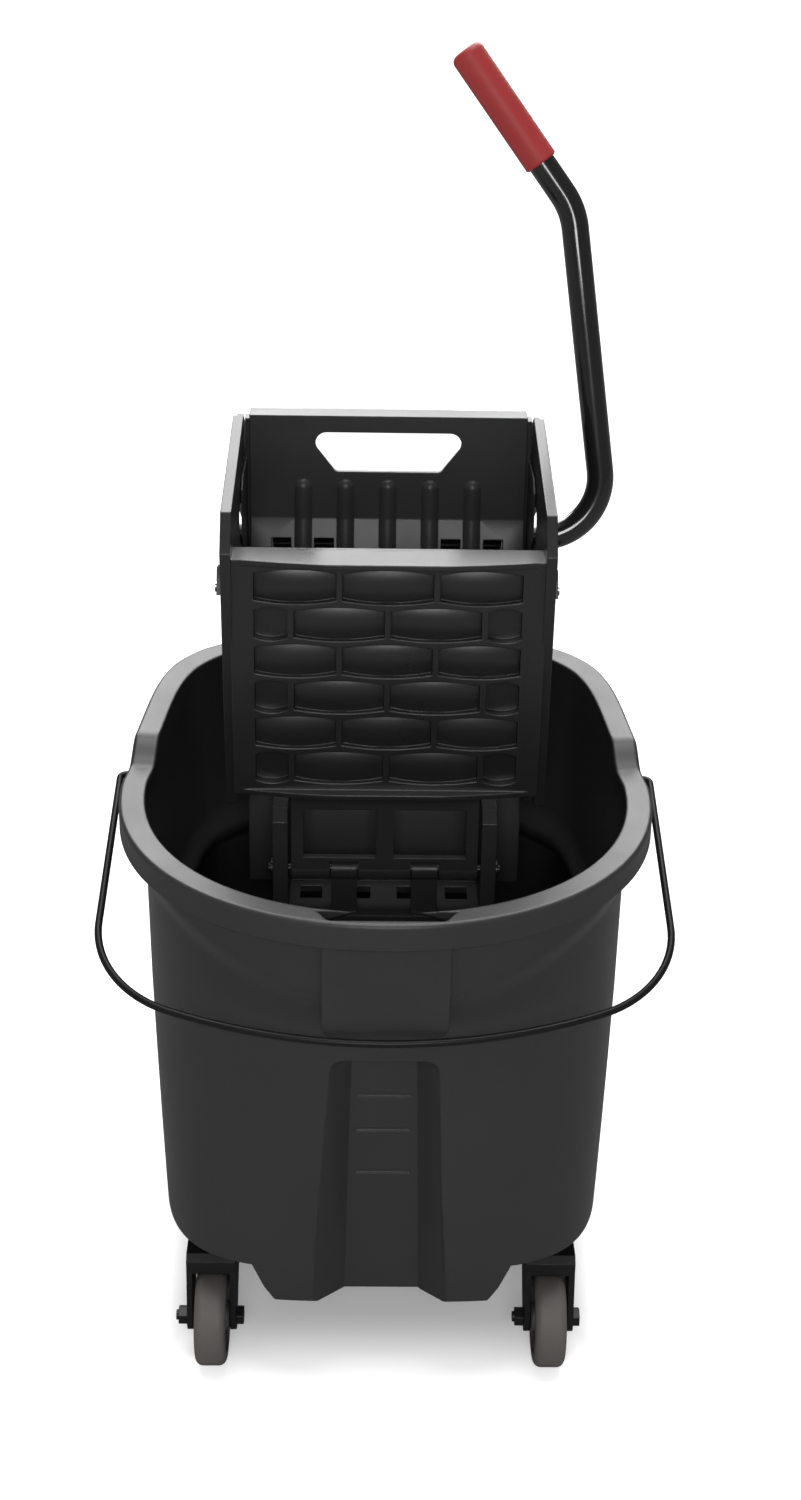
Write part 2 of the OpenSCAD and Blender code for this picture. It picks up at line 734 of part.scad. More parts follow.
// Moving moulding: brick patterned plate with flanges and two cheeks.
module press() {
    back = 5;
    floor_y = plate_y + plate_bow * 0.5 + brick_d;
    color([0.15, 0.15, 0.16]) {
        difference() {
            union() {
                translate([-cheek_in - 1, plate_y + plate_bow * 0.5, plate_bot])
                    cube([2 * cheek_in + 2, brick_d + back, plate_top - plate_bot]);
                for (z = [plate_top - 4, plate_bot])
                    translate([0, 0, z])
                        linear_extrude(4)
                            intersection() {
                                translate([-cheek_in - 1, plate_y - 4])
                                    square([2 * cheek_in + 2, plate_d + 4 - panel_t]);
                                translate([0, plate_y + 520 - plate_bow * 0.5])
                                    circle(r = 520, $fn = 240);
                            }
                both_sides() {
                    along_x(cheek_in, cheek_out)
                        cheek_outline();
                    along_x(cheek_in, cheek_out + 3.5)
                        difference() {
                            polygon([[plate_y, plate_top + 6], [plate_y + 18, panel_top - 34],
                                [panel_y + 4, panel_top], [panel_y + 4, panel_top - 4],
                                [plate_y + 20.5, panel_top - 38], [plate_y + 4, plate_top + 5],
                                [plate_y + 21, plate_bot - 10], [plate_y + 18, plate_bot - 14]]);
                            polygon([[panel_y + 5, panel_top + 9], [panel_y + 5, panel_top - 9],
                                [panel_y + 1, panel_top - 9], [panel_y + 1, panel_top + 9]]);
                        }
                }
            }
            screw_places()
                cylinder(h = 30, r = 2, center = true);
            for (i = [0 : brick_rows - 1], c = row_cells(i))
                translate([c[0], floor_y - brick_d - 1, row_z(i)])
                    rotate([-90, 0, 0])
                        linear_extrude(brick_d + 1)
                            brick_outline(c[1] - 4.4, brick_h - 2.6);
        }
        for (i = [0 : brick_rows - 1], c = row_cells(i))
            if (c[1] > brick_w * 0.6)
                intersection() {
                    translate([c[0], floor_y + pillow_r - brick_d + 2.2, row_z(i)])
                        pillow(c[1] - 4.4 - 0.6);
                    translate([c[0] - brick_w, floor_y - brick_d - 5, row_z(i) - brick_h / 2 + 1.6])
                        cube([2 * brick_w, brick_d + 5 + back, brick_h - 3.2]);
                }
    }
}

// Flat pressing wall with drain holes, seated between the flanges of the plate.
module press_face() {
    color([0.16, 0.16, 0.17])
        difference() {
            translate([-cheek_in, hinge_y - panel_t, plate_bot])
                cube([2 * cheek_in, panel_t, plate_top - plate_bot]);
            for (x = [-75 : 30 : 75], z = [plate_bot + 26 : 28 : plate_top - 20])
                translate([x, hinge_y - 10, z])
                    rotate([-90, 0, 0])
                        cylinder(h = 20, r = 4.5);
        }
}

// Windowed leg under the plate that ends in the hinge knuckles.
module press_frame() {
    y0 = hinge_y - 8;
    clear_z = hinge_z + knuckle_r + 1;
    win_t = plate_bot - 24;
    win_b = clear_z + 4;
    color([0.13, 0.13, 0.14])
        difference() {
            union() {
                translate([-frame_half, y0, clear_z])
                    cube([2 * frame_half, 6, plate_bot - clear_z]);
                translate([-frame_half, y0 - 14, plate_bot - 5])
                    cube([2 * frame_half, 20, 5]);
                for (x = [[-frame_half, -44], [-21, 21], [44, frame_half]]) {
                    rod_x(x[0], x[1], hinge_y, hinge_z, knuckle_r);
                    translate([x[0], y0, hinge_z])
                        cube([x[1] - x[0], 6, knuckle_r + 3]);
                }
            }
            for (s = [-1, 1])
                translate([s * 36 - 29, y0 - 3, win_b])
                    cube([58, 12, win_t - win_b]);
            screw_places()
                cylinder(h = 30, r = 2, center = true);
            rod_x(-frame_half - 1, frame_half + 1, hinge_y, hinge_z, pin_d / 2 + run_fit);
        }
}

// Pan head screws that hold the windowed leg to the lower flange.
module press_screws() {
    color([0.7, 0.7, 0.72])
        screw_places() {
            translate([0, 0, -8])
                cylinder(h = 3, r = 4);
            translate([0, 0, -8])
                cylinder(h = 12, r = 2);
        }
}

module hinge_pin() {
    color([0.7, 0.71, 0.73])
        rod_x(-post_out - 4, post_out + 4, hinge_y, hinge_z, pin_d / 2);
}

module pin_clips() {
    color([0.45, 0.46, 0.48])
        both_sides()
            difference() {
                rod_x(post_out, post_out + 2, hinge_y, hinge_z, pin_d / 2 + 4);
                rod_x(post_out - 1, post_out + 3, hinge_y, hinge_z, pin_d / 2);
            }
}

// True involute tooth outline, centred on the +X direction, with backlash taken off both flanks.
function inv(a) = tan(a) * 180 / PI - a;
function tooth(n, lash) = let (
    rp = gear_m * n / 2,
    rb = rp * cos(20),
    ra = rp + gear_m * 0.95,
    rf = rp - gear_m * 1.2,
    half = 90 / n - lash / rp * 90 / PI + inv(20),
    r0 = max(rb, rf),
    steps = [for (i = [0 : 5]) r0 + (ra - r0) * i / 5],
    flank = [for (r = steps) [r, half - inv(acos(min(1, rb / r)))]])
    concat([[rf, flank[0][1] + 0.1]], flank, [for (i = [5 : -1 : 0]) [flank[i][0], -flank[i][1]]],
        [[rf, -flank[0][1] - 0.1]]);
function xy(list, turn) = [for (p = list) [p[0] * cos(p[1] + turn), p[0] * sin(p[1] + turn)]];

function teeth(n, list) = [for (a = list) each xy(tooth(n, 0.35), a)];

// Arc rack on the outside of a cheek, centred on the press hinge.
module rack_shape() {
    pitch = 360 / rack_teeth;
    mesh = 90 - shaft_dir;
    translate([hinge_y, hinge_z])
        difference() {
            polygon(concat(teeth(rack_teeth, [for (k = [7 : -1 : -1]) mesh + (k + 0.5) * pitch]),
                arc([0, 0], rack_r - 18, mesh - 3.4, mesh + 24.4, 24)));
            for (a = [mesh - 1, mesh + 10.5, mesh + 22])
                translate((rack_r - 12) * [cos(a), sin(a)])
                    circle(r = 2.5);
        }
}

module rack_right() {
    color([0.24, 0.24, 0.25])
        along_x(cheek_out, gear_out)
            rack_shape();
}

module rack_left() {
    mirror([1, 0, 0])
        rack_right();
}

// Rivets through the racks into the cheeks.
module rack_rivets() {
    mesh = 90 - shaft_dir;
    color([0.72, 0.72, 0.74])
        both_sides()
            for (a = [mesh - 1, mesh + 10.5, mesh + 22])
                translate([0, hinge_y + (rack_r - 12) * cos(a), hinge_z + (rack_r - 12) * sin(a)]) {
                    rod_x(cheek_out, gear_out, 0, 0, 2.5);
                    rod_x(gear_out, gear_out + 1.5, 0, 0, 4.5);
                }
}

// Shaft that ties both pinions together behind the back panel.
module cross_shaft() {
    color([0.66, 0.67, 0.69])
        rod_x(-gear_out, gear_out, shaft_y, shaft_z, shaft_d / 2);
}

// Toothed sector on the shaft end, with a hub.
module pinion_right() {
    step = 360 / pinion_teeth;
    mesh = 270 - shaft_dir;
    color([0.24, 0.24, 0.25])
        translate([0, shaft_y, shaft_z])
            difference() {
                union() {
                    along_x(gear_x, gear_out)
                        polygon(concat(teeth(pinion_teeth, [for (k = [1 : -1 : -6]) mesh + k * step]),
                            [[0, 0]]));
                    rod_x(gear_x, gear_out, 0, 0, shaft_d / 2 + 9);
                }
                rod_x(gear_x - 1, gear_out + 1, 0, 0, shaft_d / 2);
            }
}

module pinion_left() {
    mirror([1, 0, 0])
        pinion_right();
}

// The lever lies in one plane: bend from the hub, long leg, elbow, grip leg.
module in_lever_plane() {
    translate([0, shaft_y, shaft_z])
        rotate([-lever_lean, 0, 0])
            rotate([90, 0, 0])
                children();
}

module tube_bend(r, turn) {
    rotate_extrude(angle = turn, $fn = 96)
        translate([r, 0])
            difference() {
                circle(r = tube_d / 2 + seam);
                circle(r = tube_d / 2 - tube_t - seam);
            }
}

module tube_run(h) {
    rotate([-90, 0, 0])
        linear_extrude(h)
            difference() {
                circle(r = tube_d / 2);
                circle(r = tube_d / 2 - tube_t);
            }
}

// Bent steel tube, welded to the right pinion.
module lever_tube() {
    color([0.07, 0.07, 0.07])
        difference() {
            in_lever_plane() {
                translate([bend_x, lever_bend, 0])
                    rotate([0, 0, -90])
                        tube_bend(lever_bend, leg_turn);
                translate([leg_0[0], leg_0[1], 0])
                    rotate([0, 0, lever_in])
                        translate([0, -1, 0])
                            tube_run(leg_len + 2);
                translate([elbow[0], elbow[1], 0])
                    rotate([0, 0, lever_in])
                        translate([-elbow_r, -elbow_cut, 0])
                            tube_bend(elbow_r, grip_in - lever_in);
                translate([elbow[0], elbow[1], 0])
                    rotate([0, 0, grip_in])
                        translate([0, elbow_cut - 1, 0])
                            tube_run(grip_leg - 13);
            }
            translate([gear_out - 60, shaft_y - 40, shaft_z - 40])
                cube([60, 80, 80]);
        }
}

// Domed grip sleeve pushed over the end of the tube.
module grip() {
    r = grip_d / 2;
    color([0.66, 0.2, 0.22])
        in_lever_plane()
            translate([elbow[0], elbow[1], 0])
                rotate([0, 0, grip_in])
                    translate([0, elbow_cut + grip_leg, 0])
                        rotate([90, 0, 0])
                            rotate_extrude($fn = 64)
                                difference() {
                                    union() {
                                        translate([0, 6])
                                            square([r, grip_len - 7]);
                                        square([r - 6, 10]);
                                        translate([r - 6, 6])
                                            circle(r = 6);
                                        translate([0, grip_len - 3])
                                            square([r - 1, 3]);
                                    }
                                    translate([0, 14])
                                        square([tube_d / 2, grip_len]);
                                    translate([-40, -1])
                                        square([40, grip_len + 10]);
                                }
}

bucket();
bail();
caster_stems();
fork(0);  // fork_fl
fork(1);  // fork_fr
fork(2);  // fork_rl
fork(3);  // fork_rr
axle(0);  // axle_fl
axle(1);  // axle_fr
axle(2);  // axle_rl
axle(3);  // axle_rr
nut(0);  // nut_fl
nut(1);  // nut_fr
nut(2);  // nut_rl
nut(3);  // nut_rr
wheel(0);  // wheel_fl
wheel(1);  // wheel_fr
wheel(2);  // wheel_rl
wheel(3);  // wheel_rr
tyre(0);  // tyre_fl
tyre(1);  // tyre_fr
tyre(2);  // tyre_rl
tyre(3);  // tyre_rr
wringer_frame();
panel_body();
panel_sides();
panel_rail();
shaft_bushes();
press();
press_face();
press_frame();
press_screws();
hinge_pin();
pin_clips();
rack_left();
rack_right();
rack_rivets();
cross_shaft();
pinion_left();
pinion_right();
lever_tube();
grip();
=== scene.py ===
from math import atan, cos, pi, radians, sin

import bmesh
import bpy
import numpy as np
from mathutils import Matrix, Vector


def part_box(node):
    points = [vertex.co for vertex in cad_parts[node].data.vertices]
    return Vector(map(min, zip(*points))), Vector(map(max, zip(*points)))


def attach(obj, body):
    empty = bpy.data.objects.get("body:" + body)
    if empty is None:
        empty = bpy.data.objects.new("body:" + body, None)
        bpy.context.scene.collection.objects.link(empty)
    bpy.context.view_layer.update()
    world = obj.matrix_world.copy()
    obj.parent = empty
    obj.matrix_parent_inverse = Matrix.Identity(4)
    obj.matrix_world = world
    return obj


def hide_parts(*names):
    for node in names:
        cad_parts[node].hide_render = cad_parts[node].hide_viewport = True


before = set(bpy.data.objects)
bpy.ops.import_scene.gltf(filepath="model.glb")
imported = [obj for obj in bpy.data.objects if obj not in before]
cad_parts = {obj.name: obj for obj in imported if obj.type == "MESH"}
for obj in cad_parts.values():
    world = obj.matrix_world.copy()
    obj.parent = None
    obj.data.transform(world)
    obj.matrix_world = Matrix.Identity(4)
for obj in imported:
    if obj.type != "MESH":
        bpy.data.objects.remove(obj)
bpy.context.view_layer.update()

# Tub: one thick moulding of dark polyethylene with a satin, finely grained skin.
# Its outline is round in front and squarer behind, and it narrows towards the floor.
# The rolled rim steps up beside the bail and climbs to the back, where the wringer hooks on.
tub_low, tub_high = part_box("bucket")
wall = 0.004
rim_half, rim_front = tub_high.x, 0.228
rim_rear = tub_high.y - tub_low.y - rim_front
widest = tub_low.y + rim_front
tub_floor, rear_rim = tub_low.z, tub_high.z
rim_step, rim_ramp, rim_flange = 0.016, 0.009, 0.020
front_rim = rear_rim - rim_step - rim_ramp
skirt, skirt_wall = front_rim - 0.020, 0.0035
wall_in, wave_step = 0.0205, 0.007
wave_line, wave_lift, wave_rise = 0.342, 0.012, 0.036
side_taper, front_taper, rear_taper = 0.0135, 0.020, 0.014
bead, side_pinch, pinch_end = 0.300, 0.029, 0.75
ramp_start, ramp_margin, step_run = 0.022, 0.062, 0.030
rim_bow, high_bow, low_bow, foot_bow, rear_bow = 2.15, 2.3, 2.45, 1.75, 3.4
wave_spread = 62
outline_points = 440


def ease(share):
    """Smooth run from 0 to 1."""
    return (1 - cos(pi * min(1.0, max(0.0, share)))) / 2


def rim_row(height, inset, on_top=True, rise=0.0):
    """One turn round the rolled rim; on top, the height counts from the stepped edge."""
    return {"z": height, "side": rim_half - inset, "front": rim_front - inset, "rear": rim_rear - inset,
            "bow": rim_bow, "wave": 0.0, "rise": rise, "on_top": on_top}


def low_row(height, inset, wave=0.0):
    """One turn round the wall below the wave line."""
    k = max(0.0, (wave_line - height) / (wave_line - tub_floor))
    inset += wall_in
    return {"z": height, "side": rim_half - inset - side_taper * k,
            "front": rim_front - inset - front_taper * k, "rear": rim_rear - inset - rear_taper * k,
            "bow": low_bow + foot_bow * k, "wave": wave, "rise": 0.0, "on_top": False}


def high_row(height, inset, wave=0.0, rise=0.0):
    """One turn round the wall above the wave line, which stands a little proud."""
    inset += wall_in - wave_step
    return {"z": height, "side": rim_half - inset, "front": rim_front - inset, "rear": rim_rear - inset,
            "bow": high_bow, "wave": wave, "rise": rise, "on_top": False}


def tub_point(turn, row):
    """A point of the tub's wall."""
    c, s = cos(turn), sin(turn)
    power = 2 / (row["bow"] if s < 0 else rear_bow)
    across, along = np.sign(c) * abs(c) ** power, np.sign(s) * abs(s) ** power
    across *= 1 - side_pinch * sin(pi * min(1.0, max(0.0, along / pinch_end)))
    y = widest + (row["front"] if s < 0 else row["rear"]) * along
    off_front = abs((np.degrees(turn) - 90) % 360 - 180)
    z = row["z"] + row["wave"] * wave_rise * ease(off_front / wave_spread) + row["rise"] * max(0.0, along)
    if row["on_top"]:
        climb = min(1.0, max(0.0, (y - ramp_start) / (tub_high.y - ramp_margin)))
        z += front_rim + rim_step * ease(y / step_run) + rim_ramp * climb
    return Vector((row["side"] * across, y, z))


def even_turns(row):
    """Turns that space the points of an outline evenly."""
    fine = np.linspace(0, 2 * pi, 12001)
    line = np.array([tub_point(t, row) for t in fine])
    along = np.concatenate([[0], np.cumsum(np.linalg.norm(np.diff(line, axis=0), axis=1))])
    return np.interp(np.linspace(0, along[-1], outline_points + 1), along, fine)


def as_piece(name, bm):
    """Turns a finished bmesh into an object at the origin."""
    mesh = bpy.data.meshes.new(name)
    bm.to_mesh(mesh)
    bm.free()
    piece = bpy.data.objects.new(name, mesh)
    bpy.context.scene.collection.objects.link(piece)
    return piece


turns = even_turns(rim_row(0, 0))


def lofted(name, rows):
    """Closed tub-shaped piece: a grid bent round the outline, row by row, with both ends filled."""
    bm = bmesh.new()
    bmesh.ops.create_grid(bm, x_segments=outline_points, y_segments=len(rows) - 1, size=0.5)
    for v in bm.verts:
        row = rows[round((v.co.y + 0.5) * (len(rows) - 1))]
        v.co = tub_point(turns[round((v.co.x + 0.5) * outline_points)], row)
    bmesh.ops.remove_doubles(bm, verts=bm.verts, dist=1e-6)
    bmesh.ops.holes_fill(bm, edges=bm.edges, sides=0)
    bmesh.ops.recalc_face_normals(bm, faces=bm.faces)
    return as_piece(name, bm)


def merged(piece, tool, operation):
    """Cuts, joins or trims a piece with another one, which is used up."""
    step = piece.modifiers.new(operation.lower(), "BOOLEAN")
    step.operation = operation
    step.solver = "EXACT"
    step.object = tool
    result = bpy.data.meshes.new_from_object(piece.evaluated_get(bpy.context.evaluated_depsgraph_get()))
    piece.modifiers.clear()
    piece.data = result
    bpy.data.objects.remove(tool)


def bar(bm, start, end):
    """Straight or tapered bar between two outlines with the same number of corners."""
    base = bm.faces.new([bm.verts.new(p) for p in start])
    shift = {tuple(v.co): Vector(p) for v, p in zip(base.verts, end)}
    grown = bmesh.ops.extrude_face_region(bm, geom=[base])["geom"]
    for v in grown:
        if isinstance(v, bmesh.types.BMVert):
            v.co = shift[tuple(v.co)]
    bmesh.ops.recalc_face_normals(bm, faces=bm.faces)


def along_x(bm, outline, x0, x1):
    """Bar along X with an outline in Y and Z."""
    bar(bm, [(x0, y, z) for y, z in outline], [(x1, y, z) for y, z in outline])


def along_y(bm, outline, y0, y1):
    """Bar along Y with an outline in X and Z."""
    bar(bm, [(x, y0, z) for x, z in outline], [(x, y1, z) for x, z in outline])


under = front_rim - wall
lift = rim_step + rim_ramp
wall_heights = (0.140, 0.190, 0.240)
foot_round = [(0, 0.0035), (0.0006, 0.002), (0.0018, 0.0007), (0.004, 0)]
outside = [low_row(tub_floor + z, inset) for z, inset in foot_round]
outside += [low_row(z, 0) for z in (*wall_heights, 0.296)]
wave_foot, wave_high, wave_rows = wave_line + wave_lift - 0.006, 0.020, 11
low, high = low_row(wave_foot, 0, 1.0), high_row(wave_foot + wave_high, 0, 1.0)
for i in range(wave_rows):
    share = i / (wave_rows - 1)
    step = {k: low[k] + (high[k] - low[k]) * ease(share) for k in low}
    step["z"] = wave_foot + wave_high * share
    outside.append(step)
outside += [high_row(under - 0.004, 0, 0, lift), high_row(under, -0.0005, 0, lift)]
skirt_edge, rim_edge, rim_inner = 0.0008, 0.0032, 0.0020
rolled = [rim_row(under, skirt_wall, False, lift), rim_row(skirt, skirt_wall, False),
          rim_row(skirt, skirt_edge, False), rim_row(skirt + skirt_edge, 0, False), rim_row(-0.0045, 0)]
bends = np.linspace(0, pi / 2, 7)
rolled += [rim_row(rim_edge * (sin(a) - 1), rim_edge * (1 - cos(a))) for a in bends]
rolled += [rim_row(0, rim_edge + 0.001), rim_row(0, rim_flange - rim_inner - 0.001)]
rolled += [rim_row(rim_inner * (sin(a) - 1), rim_flange - rim_inner * (1 - cos(a)))
           for a in reversed(bends)]
swell = [(0.018, 0), (0.014, 0.0016), (0.010, 0.004), (0.007, 0.0066), (0.004, 0.009), (0.0015, 0.0103),
         (-0.001, 0.0105), (-0.004, 0.0102), (-0.007, 0.009), (-0.0095, 0.0066), (-0.012, 0.004),
         (-0.015, 0.0016), (-0.018, 0)]
inside = [high_row(under - 0.006, wall), low_row(wave_line + 0.050, wall)]
inside += [low_row(bead + z, wall + out) for z, out in swell]
inside += [low_row(z, wall) for z in reversed(wall_heights)]
inside += [low_row(tub_floor + 0.012, wall), low_row(tub_floor + wall + 0.002, wall + 0.003),
           low_row(tub_floor + wall, wall + 0.011)]
tub = lofted("tub", outside + rolled + inside)

# Caster hollows: the four corners of the tub's floor are moulded as hollows that the casters swing in.
# Each hollow keeps the wall's thickness and has a sloping inner side.
caster_x, caster_front, caster_rear = 0.131, -0.146, 0.150
socket = tub_floor + 0.034
room_foot, room_slope, room_head = 0.053, 0.043, 0.034
room_out, room_along, room_low, beyond = 0.092, 0.056, 0.040, 0.290


def caster_rooms(extra):
    """The four hollows, thicker by extra."""
    bm = bmesh.new()
    for side in (-1, 1):
        edge = [(-room_foot - extra, tub_floor - room_low), (-room_foot - extra, tub_floor - 0.001),
                (-room_slope - extra, tub_floor + 0.014), (-room_head - extra, socket + extra),
                (room_out, socket + extra), (room_out, tub_floor - room_low)]
        outline = [(side * (caster_x + x), z) for x, z in edge]
        along_y(bm, outline, -beyond, caster_front + room_along + extra)
        along_y(bm, outline, caster_rear - room_along - extra, beyond)
    return as_piece("caster_rooms", bm)


hollows = caster_rooms(wall)
trim = lofted("trim", [low_row(tub_floor + 0.002, 0.002), low_row(socket + wall + 0.001, 0.001)])
merged(hollows, trim, "INTERSECT")
merged(tub, hollows, "UNION")
merged(tub, caster_rooms(0), "DIFFERENCE")

# Front of the tub: a tipping recess for a hand or a foot is moulded into the wall and widens downwards.
# A raised panel with rounded lower corners stands above it.
foot_front = tub_low.y + wall_in + front_taper
recess_slope = front_taper / (wave_line - tub_floor)
recess_height, recess_depth, recess_low = 0.311 - tub_floor, 0.020, -0.020
recess_half, recess_flare, floor_half, floor_flare = 0.040, 0.011, 0.023, 0.0048
panel_wide, panel_corner = 0.044, 0.014


def arch(low, high, foot, head, corner):
    """Upright outline, foot wide below and head wide above, with rounded top corners."""
    left = [(-foot, low)] + [(corner - head - corner * cos(a), high - corner + corner * sin(a))
                             for a in np.linspace(0, pi / 2, 7)]
    return left + [(-x, z) for x, z in reversed(left)]


def recess_room(extra):
    """The recess as a block, thicker by extra."""
    ends = []
    for z in (recess_low, recess_height + extra):
        k = (recess_height - z) / recess_height
        back, edge = floor_half + floor_flare * k + extra, recess_half + recess_flare * k + extra
        ends.append((back, edge + (edge - back) * 0.5))
    (back_foot, front_foot), (back_head, front_head) = ends
    front = arch(recess_low, recess_height + extra, front_foot, front_head, 0.014)
    back = arch(recess_low, recess_height + extra - 0.003, back_foot, back_head, 0.006)
    place = Matrix.Translation((0, foot_front, tub_floor)) @ Matrix.Rotation(atan(recess_slope), 4, "X")
    bm = bmesh.new()
    bar(bm, [place @ Vector((x, -0.010, z)) for x, z in front],
        [place @ Vector((x, recess_depth + extra, z)) for x, z in back])
    return as_piece("recess_room", bm)


bump = recess_room(wall)
trim = lofted("trim", [low_row(z, 0.0015) for z in (tub_floor + 0.002, *wall_heights, wave_line)])
merged(bump, trim, "INTERSECT")
merged(tub, bump, "UNION")
merged(tub, recess_room(0), "DIFFERENCE")
for top, depth in ((skirt + 0.006, 0.0172), (wave_line + 0.006, 0.025)):
    bm = bmesh.new()
    base = wave_line - 0.009
    upright = arch(base, top, panel_wide, panel_wide, panel_corner)
    along_y(bm, [(x, base + top - z) for x, z in upright], tub_low.y + 0.0105, tub_low.y + depth)
    merged(tub, as_piece("panel", bm), "UNION")

# Pouring lip: in the middle of the front the rim narrows, with an S-curve on both sides.
# The gap behind its skirt is filled, and the wall behind slopes, so that water runs out.
fill_half, fill_back = 0.056, tub_low.y + 0.018
bm = bmesh.new()
along_x(bm, [(tub_low.y, skirt), (fill_back, skirt), (fill_back, front_rim), (tub_low.y, front_rim)],
        -fill_half, fill_half)
filling = as_piece("filling", bm)
trim = lofted("trim", [rim_row(skirt + 0.004, 0.001, False), rim_row(front_rim - 0.002, 0.001, False)])
merged(filling, trim, "INTERSECT")
merged(tub, filling, "UNION")
lip, lip_half, spout_half = tub_low.y + 0.007, 0.050, 0.040
bm = bmesh.new()
along_x(bm, [(lip + 0.001, front_rim - 0.008), (lip + 0.024, front_rim - 0.008),
             (lip + 0.024, front_rim - 0.040), (lip + 0.003, front_rim - 0.012)], -spout_half, spout_half)
merged(tub, as_piece("spout", bm), "DIFFERENCE")
curl = [(-lip_half + 0.012 * s, lip + 0.014 * (1 - ease(s))) for s in np.linspace(0, 1, 9)]
plan = curl + [(-x, y) for x, y in reversed(curl)]
bm = bmesh.new()
bar(bm, [(x, y, front_rim - 0.009) for x, y in plan], [(x, y, front_rim + 0.002) for x, y in plan])
merged(tub, as_piece("lip", bm), "DIFFERENCE")

# Bores: the tub is drilled for the caster stems and for the ends of the bail.
# Three finger grooves run across the floor of the recess.
lying = Matrix.Rotation(pi / 2, 4, "Y")
stem_bore, bail_bore, groove = 0.0055, 0.0028, 0.0014
crease = radians(32)


def peg(bm, radius, length, place, segments=32):
    """Round peg along Z, turned and moved by the matrix place."""
    bmesh.ops.create_cone(bm, cap_ends=True, segments=segments, radius1=radius, radius2=radius,
                          depth=length, matrix=place)


bm = bmesh.new()
for side in (-1, 1):
    for y in (caster_front, caster_rear):
        peg(bm, stem_bore, 0.039, Matrix.Translation((side * caster_x, y, socket + 0.0145)))
    bail_end = (side * (rim_half - 0.003), 0.008, front_rim - 0.010)
    peg(bm, bail_bore, 0.016, Matrix.Translation(bail_end) @ lying)
for z in (0.196, 0.235, 0.266):
    y = foot_front + recess_depth - (z - tub_floor) * recess_slope
    peg(bm, groove, 0.040, Matrix.Translation((0, y, z)) @ lying, segments=16)
merged(tub, as_piece("bores", bm), "DIFFERENCE")
tub.data.shade_smooth()
tub.data.set_sharp_from_angle(angle=crease)


def soft_edges():
    """Shader group: rounds off edges in the shading, and says where they are."""
    group = bpy.data.node_groups.new("soft_edges", "ShaderNodeTree")
    group.interface.new_socket("Radius", in_out="INPUT", socket_type="NodeSocketFloat")
    group.interface.new_socket("Normal", in_out="OUTPUT", socket_type="NodeSocketVector")
    group.interface.new_socket("Edge", in_out="OUTPUT", socket_type="NodeSocketFloat")
    add, link = group.nodes.new, group.links.new
    given, out = add("NodeGroupInput"), add("NodeGroupOutput")
    rounding, surface = add("ShaderNodeBevel"), add("ShaderNodeNewGeometry")
    across, mask = add("ShaderNodeVectorMath"), add("ShaderNodeMapRange")
    rounding.samples = 6
    across.operation = "DOT_PRODUCT"
    mask.inputs["From Min"].default_value = 0.995
    mask.inputs["From Max"].default_value = 0.85
    link(given.outputs["Radius"], rounding.inputs["Radius"])
    link(rounding.outputs["Normal"], across.inputs[0])
    link(surface.outputs["Normal"], across.inputs[1])
    link(across.outputs["Value"], mask.inputs["Value"])
    link(rounding.outputs["Normal"], out.inputs["Normal"])
    link(mask.outputs["Result"], out.inputs["Edge"])
    return group


def mould_skin():
    """Shader group: the fine spark-eroded grain of a mould, and a broad, faint unevenness."""
    group = bpy.data.node_groups.new("mould_skin", "ShaderNodeTree")
    group.interface.new_socket("Grain Scale", in_out="INPUT", socket_type="NodeSocketFloat")
    group.interface.new_socket("Grain", in_out="OUTPUT", socket_type="NodeSocketFloat")
    group.interface.new_socket("Patches", in_out="OUTPUT", socket_type="NodeSocketFloat")
    add, link = group.nodes.new, group.links.new
    given, out = add("NodeGroupInput"), add("NodeGroupOutput")
    place, grain, patches = add("ShaderNodeTexCoord"), add("ShaderNodeTexNoise"), add("ShaderNodeTexNoise")
    grain.inputs["Detail"].default_value = 3.0
    patches.inputs["Scale"].default_value = 14.0
    patches.inputs["Detail"].default_value = 5.0
    link(place.outputs["Object"], grain.inputs["Vector"])
    link(place.outputs["Object"], patches.inputs["Vector"])
    link(given.outputs["Grain Scale"], grain.inputs["Scale"])
    link(grain.outputs["Fac"], out.inputs["Grain"])
    link(patches.outputs["Fac"], out.inputs["Patches"])
    return group


soft_edges_group = soft_edges()
mould_skin_group = mould_skin()


